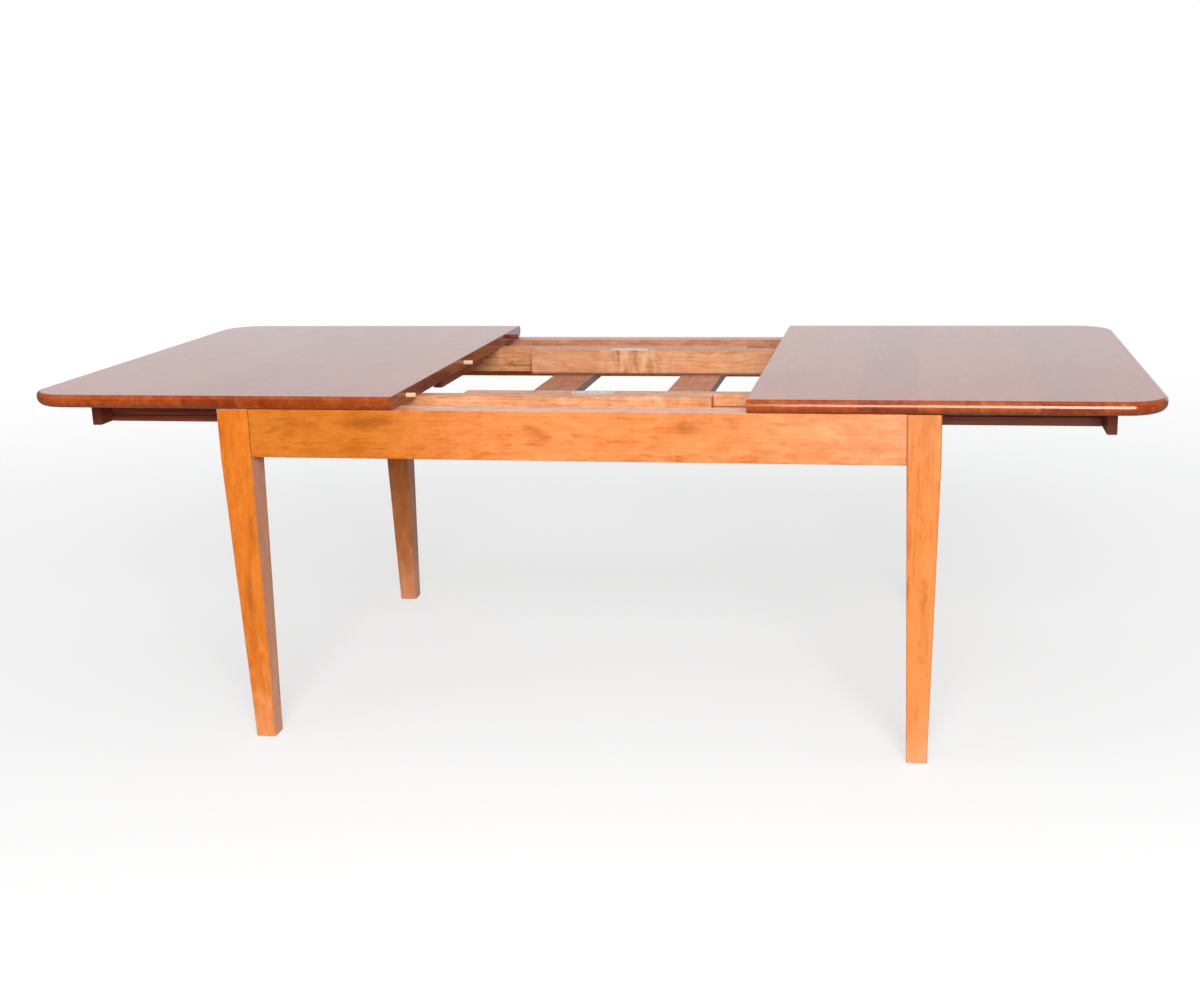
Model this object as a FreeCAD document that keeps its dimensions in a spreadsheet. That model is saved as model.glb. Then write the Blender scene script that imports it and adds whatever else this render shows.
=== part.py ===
import FreeCAD, Part
import os
import re
import Sketcher

# Extension dining table with a split top, opened for its insert leaf.
# Millimetres. The origin is on the floor under the middle of the table, X runs along
# its length, Y across it and Z up. A fixed base of four legs and an apron frame carries
# two half tops. Each half top has two long runners that slide in the frame: the left
# half's are the outer pair, the right half's the inner pair, and a tongue on each outer
# runner slides in a groove of the inner one beside it.

DIMENSIONS = {
    # Overall
    "table_height": 750,
    "open_gap": 716,                # between the half tops when they are fully apart
    "closed_gap": 1,                # what is left of it when they are pushed together
    "top_clearance": 0.5,           # half top over the frame
    "slide_clearance": 0.4,         # runner over the boards and end aprons it slides on
    # Half tops
    "leaf_length": 800,
    "leaf_side_overhang": 9,        # past the legs' outer faces
    "leaf_thickness": 28,
    "leaf_corner": 85,
    "leaf_upper_round": 8,
    "leaf_under_round": 16,
    "leaf_arris": 1,
    # Legs
    "base_length": 1466,            # over the legs
    "base_width": 1032,
    "leg_size": 66,
    "leg_foot": 42,
    "leg_end_taper": 16,            # share of the taper on the side towards the table's end
    "leg_bevel": 2,
    "leg_flat": 12,                 # chamfer of the inner corner, seat of the corner block
    # Aprons and side rails
    "apron_height": 100,
    "apron_thickness": 25,
    "apron_setback": 2,             # behind the legs' outer faces
    "apron_round": 1.5,
    "side_rail_width": 30,
    "notch_shoulder": 40,           # full height of an end apron, beside each leg
    # Cross boards
    "board_width": 100,
    "board_thickness": 20,
    "board_spacing": 320,
    "board_round": 1.5,
    # Runners
    "runner_thickness": 36,
    "runner_height": 60,
    "runner_length": 1320,
    "runner_end_inset": 106,        # end of the half top to the end of its runners
    "runner_arris": 1,
    "runner_gap": 1,                # between an inner and an outer runner
    "tongue_level": 18,             # above the runner's underside
    "tongue_height": 18,
    "tongue_depth": 8,
    "tongue_clearance": 0.3,
    # Runner guides
    "guide_length": 90,
    "guide_width": 46,
    "guide_height": 30,
    "guide_gap": 1,                 # between a guide and the outer runner beside it
    "guide_arris": 1.5,
    "lip_level": 13,                # above the guide's seat
    "lip_height": 8,
    "lip_depth": 8,                 # how far the lip reaches into the runner
    "lip_clearance": 0.3,
    # Stop pins
    "pin_diameter": 10,
    "pin_seat": 15,
    "pin_rise": 10,
    "pin_fit": 0.15,
    "slot_side_clearance": 0.4,
    "slot_end_clearance": 0.5,
    "slot_roof_clearance": 1.5,
    # Battens
    "batten_thickness": 20,
    "batten_height": 59,
    "batten_arris": 1,
    "outer_batten_clearance": 7,    # from each end to the notch of the end apron
    "outer_batten_overhang": 50,    # past the outer runners
    "inner_batten_length": 330,
    "inner_batten_height": 16,
    "inner_batten_inset": 4,        # behind the inner end of the half top
    # Steel plates let into the tops of the inner runners
    "plate_length": 90,
    "plate_width": 30,
    "plate_thickness": 2,
    "plate_corner": 2,
    "plate_drop": 0.2,              # below the runner's top
    "plate_fit": 0.2,
    "plate_front_shift": 8,         # from the table's middle, when the table is open
    "plate_back_shift": 22,
    "plate_screw_pitch": 24,
    "plate_screw_diameter": 3.5,
    "plate_screw_length": 16,
    "plate_screw_tip": 1,
    "plate_head_diameter": 6.6,
    "plate_head_height": 1.2,
    # Locating dowels
    "dowel_diameter": 10,
    "dowel_root_diameter": 11,      # the part held in the left half top
    "dowel_spacing": 420,
    "dowel_reach": 20,
    "dowel_seat": 22,
    "dowel_fit": 0.15,
    "dowel_hole_clearance": 0.25,
    "dowel_end_clearance": 2,
    "dowel_hole_step": 1,
    "dowel_tip": 1.5,
    # Screws
    "screw_diameter": 5,
    "screw_tip": 1.6,
    "screw_head_diameter": 9.5,
    "screw_head_height": 3.5,
    "screw_clearance": 0.2,
    "recess_diameter": 12,
    "leaf_screw_length": 50,
    "leaf_screw_level": 25,         # head seat above the runner's underside
    "inner_screw_length": 25,       # of the inner battens
    "inner_recess_depth": 4,
    "base_screw_length": 40,
    "base_recess_depth": 4,
    "runner_screw_margin": 60,
    "runner_screw_pitch": 280,
    "outer_batten_screw_near": 120,
    "outer_batten_screw_inset": 33,
    "inner_batten_screw_inset": 55,
    "board_screw_pitch": 60,
    "guide_screw_pitch": 50,
    # Corner blocks and their bolts
    "block_thickness": 32,
    "block_height": 34,
    "block_lift": 3,                # above the lower edge of the aprons
    "bolt_diameter": 8,
    "bolt_clearance": 0.3,
    "bolt_depth": 28,               # how far the bolt goes into the leg
    "bolt_spare": 3,                # thread past the nut
    "nut_width": 13,
    "nut_height": 6.5,
    "nut_fit": 0.15,
    "washer_diameter": 18,
    "washer_thickness": 1.6,
}

LEFT = -1
RIGHT = 1
FRONT = -1
BACK = 1
SIDES = {"left": LEFT, "right": RIGHT}
ROWS = {"front": FRONT, "back": BACK}

# Derived sizes, as expressions over the sheet
LEAF_UNDER = "(table_height - leaf_thickness)"
FRAME_TOP = "(table_height - leaf_thickness - top_clearance)"
APRON_FOOT = "(table_height - leaf_thickness - top_clearance - apron_height)"
RUNNER_UNDER = "(table_height - leaf_thickness - runner_height)"
BOARD_TOP = "(table_height - leaf_thickness - runner_height - slide_clearance)"
BOARD_FOOT = "(table_height - leaf_thickness - runner_height - slide_clearance - board_thickness)"
TRAVEL = "((open_gap - closed_gap) / 2)"
LEG_X = "(base_length / 2 - leg_size / 2)"
LEG_Y = "(base_width / 2 - leg_size / 2)"
APRON_X = "(base_length / 2 - apron_setback)"
APRON_Y = "(base_width / 2 - apron_setback)"
NOTCH_HALF = "(base_width / 2 - leg_size - notch_shoulder)"
OUTER_BATTEN_HALF = "(%s - outer_batten_clearance)" % NOTCH_HALF
INNER_BATTEN_HALF = "(inner_batten_length / 2)"
OUTER_RUNNER_Y = "(%s - outer_batten_overhang - runner_thickness / 2)" % OUTER_BATTEN_HALF
INNER_RUNNER_Y = "(%s - runner_thickness - runner_gap)" % OUTER_RUNNER_Y
GUIDE_Y = "(%s + runner_thickness / 2 + guide_gap)" % OUTER_RUNNER_Y
LEAF_HALF_WIDTH = "(base_width / 2 + leaf_side_overhang)"
RUNNER_END = "(leaf_length - runner_end_inset)"     # from the half top's inner end
SCREW_HOLE = "(screw_diameter + 2 * screw_clearance)"
PLATE_HOLE = "(plate_screw_diameter + 2 * screw_clearance)"
PLATE_X = {"front": "plate_front_shift", "back": "(-plate_back_shift)"}
BOLT_HOLE = "(bolt_diameter + 2 * bolt_clearance)"
BOLT_LEVEL = "(block_lift + block_height / 2)"      # above the aprons' lower edge
LEG_FLAT_REACH = "(leg_size / sqrt(2) - leg_flat / sqrt(2))"    # leg axis to its flat

doc = FreeCAD.newDocument("table")
sheet = doc.addObject("Spreadsheet::Sheet", "dim")
for row, (alias, amount) in enumerate(DIMENSIONS.items(), 1):
    sheet.set("A%d" % row, alias)
    sheet.set("B%d" % row, str(amount))
    sheet.setAlias("B%d" % row, alias)
doc.recompute()

ALIAS = re.compile(r"[a-z]+(?:_[a-z]+)+")
HANDED_IN = []


def bound(text):
    """The expression with every alias referred to its cell of the sheet."""
    return ALIAS.sub(lambda word: "dim." + word.group(0), str(text))


def signed(sign, text):
    return "%d * (%s)" % (sign, text)


def bind(target, name, text):
    target.setExpression(name, bound(text))


def put(target, x, y, z, turn=0):
    """Places an object, turned about Z, at a position bound to the sheet."""
    target.Placement = FreeCAD.Placement(
        FreeCAD.Vector(0, 0, 0), FreeCAD.Rotation(FreeCAD.Vector(0, 0, 1), turn))
    bind(target, "Placement.Base.x", x)
    bind(target, "Placement.Base.y", y)
    bind(target, "Placement.Base.z", z)


class Piece:
    """One wooden or metal piece: a body built from sketches bound to the sheet."""

    def __init__(self, label, several=False):
        self.body = doc.addObject("PartDesign::Body", label)
        self.body.Label = label
        self.body.AllowCompound = several
        HANDED_IN.append(self.body)

    def sketch(self, plane, level="0", turn=0):
        """A sketch level above an origin plane, turned about its own upright axis."""
        sketch = self.body.newObject("Sketcher::SketchObject", self.body.Label + "_sketch")
        support = [p for p in self.body.Origin.OriginFeatures if p.Role == plane][0]
        sketch.AttachmentSupport = [(support, "")]
        sketch.MapMode = "FlatFace"
        sketch.AttachmentOffset = FreeCAD.Placement(
            FreeCAD.Vector(0, 0, 0), FreeCAD.Rotation(FreeCAD.Vector(0, 1, 0), turn))
        if level != "0":
            bind(sketch, "AttachmentOffset.Base.x", "%s * sin(%d deg)" % (level, turn))
            bind(sketch, "AttachmentOffset.Base.z", "%s * cos(%d deg)" % (level, turn))
        return sketch

    def pin_point(self, sketch, curve, point, place):
        for kind, text in zip(("DistanceX", "DistanceY"), place):
            number = sketch.addConstraint(Sketcher.Constraint(kind, -1, 1, curve, point, 1.0))
            bind(sketch, "Constraints[%d]" % number, text)

    def outline(self, plane, corners, level="0"):
        """A closed outline of straight lines through corners given as expressions."""
        sketch = self.sketch(plane, level)
        count = len(corners)
        start = [FreeCAD.Vector(step, step * step, 0) for step in range(count)]
        for step in range(count):
            line = Part.LineSegment(start[step], start[(step + 1) % count])
            sketch.addGeometry(line, False)
        for step in range(count):
            following = (step + 1) % count
            sketch.addConstraint(Sketcher.Constraint("Coincident", step, 2, following, 1))
        for step, corner in enumerate(corners):
            self.pin_point(sketch, step, 1, corner)
        return sketch

    def box_outline(self, plane, low, high, level="0"):
        corners = [(low[0], low[1]), (high[0], low[1]), (high[0], high[1]), (low[0], high[1])]
        return self.outline(plane, corners, level)

    def bevelled_outline(self, low, high, level="0"):
        """A plan rectangle whose four corners are cut by leg_bevel."""
        near_x = "%s + leg_bevel" % low[0]
        far_x = "%s - leg_bevel" % high[0]
        near_y = "%s + leg_bevel" % low[1]
        far_y = "%s - leg_bevel" % high[1]
        return self.outline("XY_Plane", [
            (near_x, low[1]), (far_x, low[1]), (high[0], near_y), (high[0], far_y),
            (far_x, high[1]), (near_x, high[1]), (low[0], far_y), (low[0], near_y)], level)

    def circles(self, plane, spots, diameter, level="0", turn=0):
        sketch = self.sketch(plane, level, turn)
        for step, spot in enumerate(spots):
            centre = FreeCAD.Vector(30 * step, 0, 0)
            sketch.addGeometry(Part.Circle(centre, FreeCAD.Vector(0, 0, 1), 5), False)
            self.pin_point(sketch, step, 3, spot)
            number = sketch.addConstraint(Sketcher.Constraint("Diameter", step, 10.0))
            bind(sketch, "Constraints[%d]" % number, diameter)
        return sketch

    def pad(self, sketch, length, reverse=False):
        feature = self.body.newObject("PartDesign::Pad", self.body.Label + "_pad")
        feature.Profile = sketch
        feature.Reversed = reverse
        bind(feature, "Length", length)
        doc.recompute()

    def pocket(self, sketch, depth, reverse=False):
        before = self.body.Shape.Volume
        feature = self.body.newObject("PartDesign::Pocket", self.body.Label + "_pocket")
        feature.Profile = sketch
        feature.Reversed = reverse
        bind(feature, "Length", depth)
        doc.recompute()
        if self.body.Shape.Volume > before - 1:
            raise RuntimeError("a pocket of %s cuts nothing" % self.body.Label)

    def ease(self, kind, size, keep):
        """Rounds (Fillet) or bevels (Chamfer) the edges that keep picks."""
        base = self.body.Tip
        names = []
        for number, edge in enumerate(base.Shape.Edges, 1):
            if keep(edge):
                names.append("Edge%d" % number)
        if not names:
            raise RuntimeError("no edge to ease on %s" % self.body.Label)
        feature = self.body.newObject("PartDesign::" + kind, self.body.Label + "_edges")
        feature.Base = (base, names)
        bind(feature, "Radius" if kind == "Fillet" else "Size", size)
        doc.recompute()


def size_of(alias):
    return float(sheet.get(alias))


def ends_of(edge):
    return [vertex.Point for vertex in edge.Vertexes]


def lies_along(edge, axis):
    """True for a straight edge along one axis (0, 1 or 2)."""
    if len(edge.Vertexes) != 2 or edge.Curve.TypeId != "Part::GeomLine":
        return False
    first, last = ends_of(edge)
    return all(abs(first[other] - last[other]) < 1e-6 for other in range(3) if other != axis)


def all_at(edge, axis, level):
    return all(abs(point[axis] - level) < 1e-6 for point in ends_of(edge))


def long_outer_edges(piece, axis):
    """Edges along one axis that lie on the four corners of the piece's own box."""
    box = piece.body.Shape.BoundBox
    low = (box.XMin, box.YMin, box.ZMin)
    high = (box.XMax, box.YMax, box.ZMax)
    across = [other for other in range(3) if other != axis]

    def keep(edge):
        return lies_along(edge, axis) and all(
            all_at(edge, other, low[other]) or all_at(edge, other, high[other])
            for other in across)
    return keep


# ---------------------------------------------------------------- legs

def corner_turn(side, row):
    """Turn about Z that points a corner piece's +Y from the middle out to its leg."""
    return {(LEFT, FRONT): 135, (RIGHT, FRONT): -135, (LEFT, BACK): 45, (RIGHT, BACK): -45}[
        (side, row)]


def make_leg(side_name, row_name):
    side = SIDES[side_name]
    row = ROWS[row_name]
    leg = Piece("leg_%s_%s" % (row_name, side_name))
    half = "leg_size / 2"
    block = leg.bevelled_outline(("-" + half, "-" + half), (half, half), APRON_FOOT)
    outer = "leg_size / 2 - leg_end_taper"
    inner = "leg_foot - leg_size / 2 + leg_end_taper"
    low_x, high_x = ("-(%s)" % inner, outer) if side == RIGHT else ("-(%s)" % outer, inner)
    foot = leg.bevelled_outline((low_x, "-leg_foot / 2"), (high_x, "leg_foot / 2"))
    taper = leg.body.newObject("PartDesign::AdditiveLoft", leg.body.Label + "_taper")
    taper.Profile = foot
    taper.Sections = [block]
    taper.Ruled = True
    doc.recompute()
    leg.pad(block, "apron_height")

    # The inner corner of the square part is cut flat for the corner block
    past = half + " + leg_bevel"
    short = half + " - leg_flat - leg_bevel"
    flat = leg.outline("XY_Plane", [
        (signed(-side, past), signed(-row, past)),
        (signed(-side, short), signed(-row, past)),
        (signed(-side, past), signed(-row, short))], FRAME_TOP)
    leg.pocket(flat, "apron_height")

    # Bolt hole, square to the flat, on the diagonal through the leg's axis
    hole = leg.circles("XZ_Plane", [("0", APRON_FOOT + " + " + BOLT_LEVEL)], BOLT_HOLE,
                       "(%s - bolt_depth)" % LEG_FLAT_REACH, corner_turn(side, row))
    leg.pocket(hole, "bolt_depth + leg_flat", True)
    put(leg.body, signed(side, LEG_X), signed(row, LEG_Y), "0")


# ---------------------------------------------------------------- frame

def make_apron(row_name):
    row = ROWS[row_name]
    apron = Piece("apron_" + row_name)
    plan = apron.box_outline(
        "XY_Plane", ("leg_size - base_length / 2", "0"),
        ("base_length / 2 - leg_size", signed(-row, "apron_thickness")))
    apron.pad(plan, "apron_height")
    box_corner = long_outer_edges(apron, 0)
    apron.ease("Fillet", "apron_round", lambda edge: box_corner(edge) and all_at(edge, 2, 0))
    put(apron.body, "0", signed(row, APRON_Y), APRON_FOOT)


def make_end_apron(side_name):
    side = SIDES[side_name]
    apron = Piece("end_apron_" + side_name)
    half = "(base_width / 2 - leg_size)"
    notch_floor = "(%s - %s)" % (BOARD_TOP, APRON_FOOT)
    view = apron.outline("YZ_Plane", [
        ("-" + half, "0"), (half, "0"), (half, "apron_height"),
        (NOTCH_HALF, "apron_height"), (NOTCH_HALF, notch_floor),
        ("-" + NOTCH_HALF, notch_floor), ("-" + NOTCH_HALF, "apron_height"),
        ("-" + half, "apron_height")])
    apron.pad(view, "apron_thickness", side == RIGHT)
    box_corner = long_outer_edges(apron, 1)
    apron.ease("Fillet", "apron_round", lambda edge: box_corner(edge) and all_at(edge, 2, 0))
    put(apron.body, signed(side, APRON_X), "0", APRON_FOOT)


def make_side_rail(row_name):
    row = ROWS[row_name]
    rail = Piece("side_rail_" + row_name)
    plan = rail.box_outline(
        "XY_Plane", ("leg_size - base_length / 2", "0"),
        ("base_length / 2 - leg_size", signed(-row, "side_rail_width")))
    rail.pad(plan, "%s - %s" % (FRAME_TOP, BOARD_TOP))
    spots = []
    for side in SIDES.values():
        spots += board_rail_screws(side, signed(-row, "side_rail_width / 2"))
    holes = rail.circles("XY_Plane", spots, SCREW_HOLE)
    rail.pocket(holes, "base_screw_length - board_thickness + base_recess_depth", True)
    put(rail.body, "0", signed(row, APRON_Y + " - apron_thickness"), BOARD_TOP)


def board_rail_screws(side, y):
    """The two screws at one end of a cross board, at the given Y."""
    return [("%d * board_spacing / 2 %s board_screw_pitch / 2" % (side, sign), y)
            for sign in "-+"]


def guide_screws(side, y):
    return [("%d * board_spacing / 2 %s guide_screw_pitch / 2" % (side, sign), y)
            for sign in "-+"]


def base_screw_spots():
    """Every screw driven up through the cross boards, in the table's own frame."""
    spots = []
    for side in SIDES.values():
        for row in ROWS.values():
            rail_y = signed(row, APRON_Y + " - apron_thickness - side_rail_width / 2")
            guide_y = signed(row, GUIDE_Y + " + guide_width / 2")
            spots += board_rail_screws(side, rail_y)
            spots += guide_screws(side, guide_y)
    return spots


def stop_pin_spots(side):
    """The pins in one cross board, for the runners of the opposite half top."""
    reach = INNER_RUNNER_Y if side == LEFT else OUTER_RUNNER_Y
    return [("%d * board_spacing / 2" % side, signed(row, reach)) for row in ROWS.values()]


def make_cross_board(side_name):
    side = SIDES[side_name]
    board = Piece("cross_board_" + side_name)
    half_x = "board_width / 2"
    half_y = "(" + APRON_Y + " - apron_thickness)"
    plan = board.box_outline("XY_Plane", ("-" + half_x, "-" + half_y), (half_x, half_y))
    board.pad(plan, "board_thickness")
    board.ease("Fillet", "board_round", long_outer_edges(board, 1))
    middle = "%d * board_spacing / 2" % side
    screws = [("%s - %s" % (x, middle), y) for x, y in base_screw_spots()
              if x.startswith("%d *" % side)]
    board.pocket(board.circles("XY_Plane", screws, SCREW_HOLE), "board_thickness", True)
    board.pocket(board.circles("XY_Plane", screws, "recess_diameter"), "base_recess_depth", True)
    pins = [("0", y) for x, y in stop_pin_spots(side)]
    seats = board.circles("XY_Plane", pins, "pin_diameter + 2 * pin_fit", "board_thickness")
    board.pocket(seats, "pin_seat")
    put(board.body, middle, "0", BOARD_FOOT)


def make_runner_guide(side_name, row_name):
    """A block beside the outer runner with a lip that holds the runner down."""
    side = SIDES[side_name]
    row = ROWS[row_name]
    guide = Piece("runner_guide_%s_%s" % (row_name, side_name))
    lip = signed(-row, "guide_gap + lip_depth")
    far = signed(row, "guide_width")
    profile = guide.outline("YZ_Plane", [
        ("0", "0"), (far, "0"), (far, "guide_height"), ("0", "guide_height"),
        ("0", "lip_level + lip_height"), (lip, "lip_level + lip_height"),
        (lip, "lip_level"), ("0", "lip_level")], "(-guide_length / 2)")
    guide.pad(profile, "guide_length")
    top = size_of("guide_height")
    guide.ease("Chamfer", "guide_arris",
               lambda edge: lies_along(edge, 0) and all_at(edge, 2, top))
    spots = [("%s guide_screw_pitch / 2" % sign, signed(row, "guide_width / 2"))
             for sign in "-+"]
    holes = guide.circles("XY_Plane", spots, SCREW_HOLE)
    guide.pocket(holes, "base_screw_length - board_thickness + base_recess_depth", True)
    put(guide.body, "%d * board_spacing / 2" % side, signed(row, GUIDE_Y), BOARD_TOP)


def make_stop_pins():
    pins = Piece("stop_pins", True)
    spots = stop_pin_spots(LEFT) + stop_pin_spots(RIGHT)
    pins.pad(pins.circles("XY_Plane", spots, "pin_diameter"), "pin_seat + pin_rise")
    put(pins.body, "0", "0", BOARD_TOP + " - pin_seat")


def make_screws(label, spots, length, seat_level):
    """A group of like screws, heads down, with their head seats at one level."""
    screws = Piece(label, True)
    screws.pad(screws.circles("XY_Plane", spots, "screw_diameter"), length)
    tip = size_of(length)
    screws.ease("Chamfer", "screw_tip", lambda edge: all_at(edge, 2, tip))
    heads = screws.circles("XY_Plane", spots, "screw_head_diameter")
    screws.pad(heads, "screw_head_height", True)
    put(screws.body, "0", "0", seat_level)


# ---------------------------------------------------------------- corner blocks

def make_corner_block(side_name, row_name):
    side = SIDES[side_name]
    row = ROWS[row_name]
    block = Piece("corner_block_%s_%s" % (row_name, side_name))
    inset = "(leg_size / 2 - apron_setback - apron_thickness)"
    near = "(%s + sqrt(2) * %s)" % (LEG_FLAT_REACH, inset)
    far = "(%s + block_thickness)" % near
    plan = block.outline("XY_Plane", [
        ("-" + near, "0"), (near, "0"),
        (far, "-block_thickness"), ("-" + far, "-block_thickness")])
    block.pad(plan, "block_height")
    hole = block.circles("XZ_Plane", [("0", "block_height / 2")], BOLT_HOLE)
    block.pocket(hole, "block_thickness", True)
    put(block.body,
        "%s - %s / sqrt(2)" % (signed(side, LEG_X), signed(side, LEG_FLAT_REACH)),
        "%s - %s / sqrt(2)" % (signed(row, LEG_Y), signed(row, LEG_FLAT_REACH)),
        APRON_FOOT + " + block_lift", corner_turn(side, row))


def make_ring(label, outline_kind, height, hole):
    """A round or six-sided disc with a round hole, along Z, from primitives."""
    if outline_kind == "hexagon":
        disc = doc.addObject("Part::Prism", label + "_disc")
        disc.Polygon = 6
        bind(disc, "Circumradius", "nut_width / sqrt(3)")
    else:
        disc = doc.addObject("Part::Cylinder", label + "_disc")
        bind(disc, "Radius", "washer_diameter / 2")
    bore = doc.addObject("Part::Cylinder", label + "_bore")
    bind(disc, "Height", height)
    bind(bore, "Height", height)
    bind(bore, "Radius", hole + " / 2")
    ring = doc.addObject("Part::Cut", label)
    ring.Base = disc
    ring.Tool = bore
    return ring


def set_on_bolt(target, side, row, reach):
    """Lays a piece on a corner bolt's axis, its +Z towards the table's middle."""
    lay = FreeCAD.Rotation(FreeCAD.Vector(1, 0, 0), 90)
    spin = FreeCAD.Rotation(FreeCAD.Vector(0, 0, 1), corner_turn(side, row))
    target.Placement = FreeCAD.Placement(FreeCAD.Vector(0, 0, 0), spin.multiply(lay))
    bind(target, "Placement.Base.x",
         "%s - %s / sqrt(2)" % (signed(side, LEG_X), signed(side, reach)))
    bind(target, "Placement.Base.y",
         "%s - %s / sqrt(2)" % (signed(row, LEG_Y), signed(row, reach)))
    bind(target, "Placement.Base.z", APRON_FOOT + " + " + BOLT_LEVEL)


def group(label, members):
    together = doc.addObject("Part::Compound", label)
    together.Label = label
    together.Links = members
    HANDED_IN.append(together)


def make_corner_hardware():
    bolts = []
    washers = []
    nuts = []
    block_face = LEG_FLAT_REACH + " + block_thickness"
    for side_name, side in SIDES.items():
        for row_name, row in ROWS.items():
            corner = "%s_%s" % (row_name, side_name)
            bolt = doc.addObject("Part::Cylinder", "bolt_" + corner)
            bind(bolt, "Radius", "bolt_diameter / 2")
            bind(bolt, "Height", "bolt_depth + block_thickness + washer_thickness"
                                 " + nut_height + bolt_spare")
            set_on_bolt(bolt, side, row, LEG_FLAT_REACH + " - bolt_depth")
            bolts.append(bolt)
            washer = make_ring("washer_" + corner, "circle", "washer_thickness", BOLT_HOLE)
            set_on_bolt(washer, side, row, block_face)
            washers.append(washer)
            nut = make_ring("nut_" + corner, "hexagon", "nut_height",
                            "(bolt_diameter + 2 * nut_fit)")
            set_on_bolt(nut, side, row, block_face + " + washer_thickness")
            nuts.append(nut)
    group("corner_bolts", bolts)
    group("corner_washers", washers)
    group("corner_nuts", nuts)


# ---------------------------------------------------------------- half tops

def runner_y(side):
    return OUTER_RUNNER_Y if side == LEFT else INNER_RUNNER_Y


def batten_screws(which):
    """How far each screw of a batten is from the centre line."""
    if which == "outer":
        return ["outer_batten_screw_near", OUTER_BATTEN_HALF + " - outer_batten_screw_inset"]
    return [INNER_BATTEN_HALF + " - inner_batten_screw_inset"]


def long_screw_spots(side):
    """Screws through the runners and the outer batten up into a half top: X from the half
    top's inner end, Y from the centre line."""
    spots = []
    outer = signed(side, RUNNER_END + " + batten_thickness / 2")
    for row in ROWS.values():
        for step in range(3):
            reach = "%s - runner_screw_margin - %d * runner_screw_pitch" % (RUNNER_END, step)
            spots.append((signed(side, reach), signed(row, runner_y(side))))
        spots += [(outer, signed(row, reach)) for reach in batten_screws("outer")]
    return spots


def short_screw_spots(side):
    """Screws through the inner batten, measured in the same way."""
    inner = signed(side, "inner_batten_inset + batten_thickness / 2")
    return [(inner, signed(row, reach))
            for row in ROWS.values() for reach in batten_screws("inner")]


def leaf_place(side):
    return signed(side, "open_gap / 2")


def under_leaf(side, spots):
    """Spots measured from a half top's inner end, in the table's own frame."""
    return [("%s + %s" % (leaf_place(side), x), y) for x, y in spots]


def make_half_top(side_name):
    side = SIDES[side_name]
    top = Piece(side_name + "_half_top")
    plan = top.box_outline("XY_Plane", ("0", "-" + LEAF_HALF_WIDTH),
                           (signed(side, "leaf_length"), LEAF_HALF_WIDTH))
    top.pad(plan, "leaf_thickness")
    end = side * size_of("leaf_length")
    thick = size_of("leaf_thickness")
    top.ease("Fillet", "leaf_corner", lambda edge: lies_along(edge, 2) and all_at(edge, 0, end))

    def rim(level):
        return lambda edge: all_at(edge, 2, level) and not all_at(edge, 0, 0)
    top.ease("Fillet", "leaf_upper_round", rim(thick))
    top.ease("Fillet", "leaf_under_round", rim(0))
    top.ease("Chamfer", "leaf_arris",
             lambda edge: all_at(edge, 0, 0) and all_at(edge, 2, thick))

    screws = top.circles("XY_Plane", long_screw_spots(side) + short_screw_spots(side), SCREW_HOLE)
    top.pocket(screws, "leaf_screw_length + leaf_screw_level - runner_height", True)
    dowels = [(signed(step, "dowel_spacing"), "leaf_thickness / 2") for step in (-1, 0, 1)]
    if side == LEFT:
        seats = top.circles("YZ_Plane", dowels, "dowel_root_diameter + 2 * dowel_fit")
        top.pocket(seats, "dowel_seat")
    else:
        # Blind holes, each a little deeper than the one in front of it
        for step, dowel in enumerate(dowels):
            hole = top.circles("YZ_Plane", [dowel],
                               "dowel_diameter + 2 * dowel_hole_clearance")
            top.pocket(hole, "dowel_reach + dowel_end_clearance + %d * dowel_hole_step" % step,
                       True)
    put(top.body, leaf_place(side), "0", LEAF_UNDER)


def make_dowels():
    """Turned pins: a thicker root in the left half top, a slimmer end that stands out."""
    dowels = Piece("locating_dowels", True)
    spots = [(signed(step, "dowel_spacing"), "0") for step in (-1, 0, 1)]
    ends = dowels.circles("YZ_Plane", spots, "dowel_diameter")
    dowels.pad(ends, "dowel_reach")
    tip = size_of("dowel_reach")
    dowels.ease("Chamfer", "dowel_tip", lambda edge: all_at(edge, 0, tip))
    roots = dowels.circles("YZ_Plane", spots, "dowel_root_diameter")
    dowels.pad(roots, "dowel_seat", True)
    put(dowels.body, leaf_place(LEFT), "0", LEAF_UNDER + " + leaf_thickness / 2")


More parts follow.
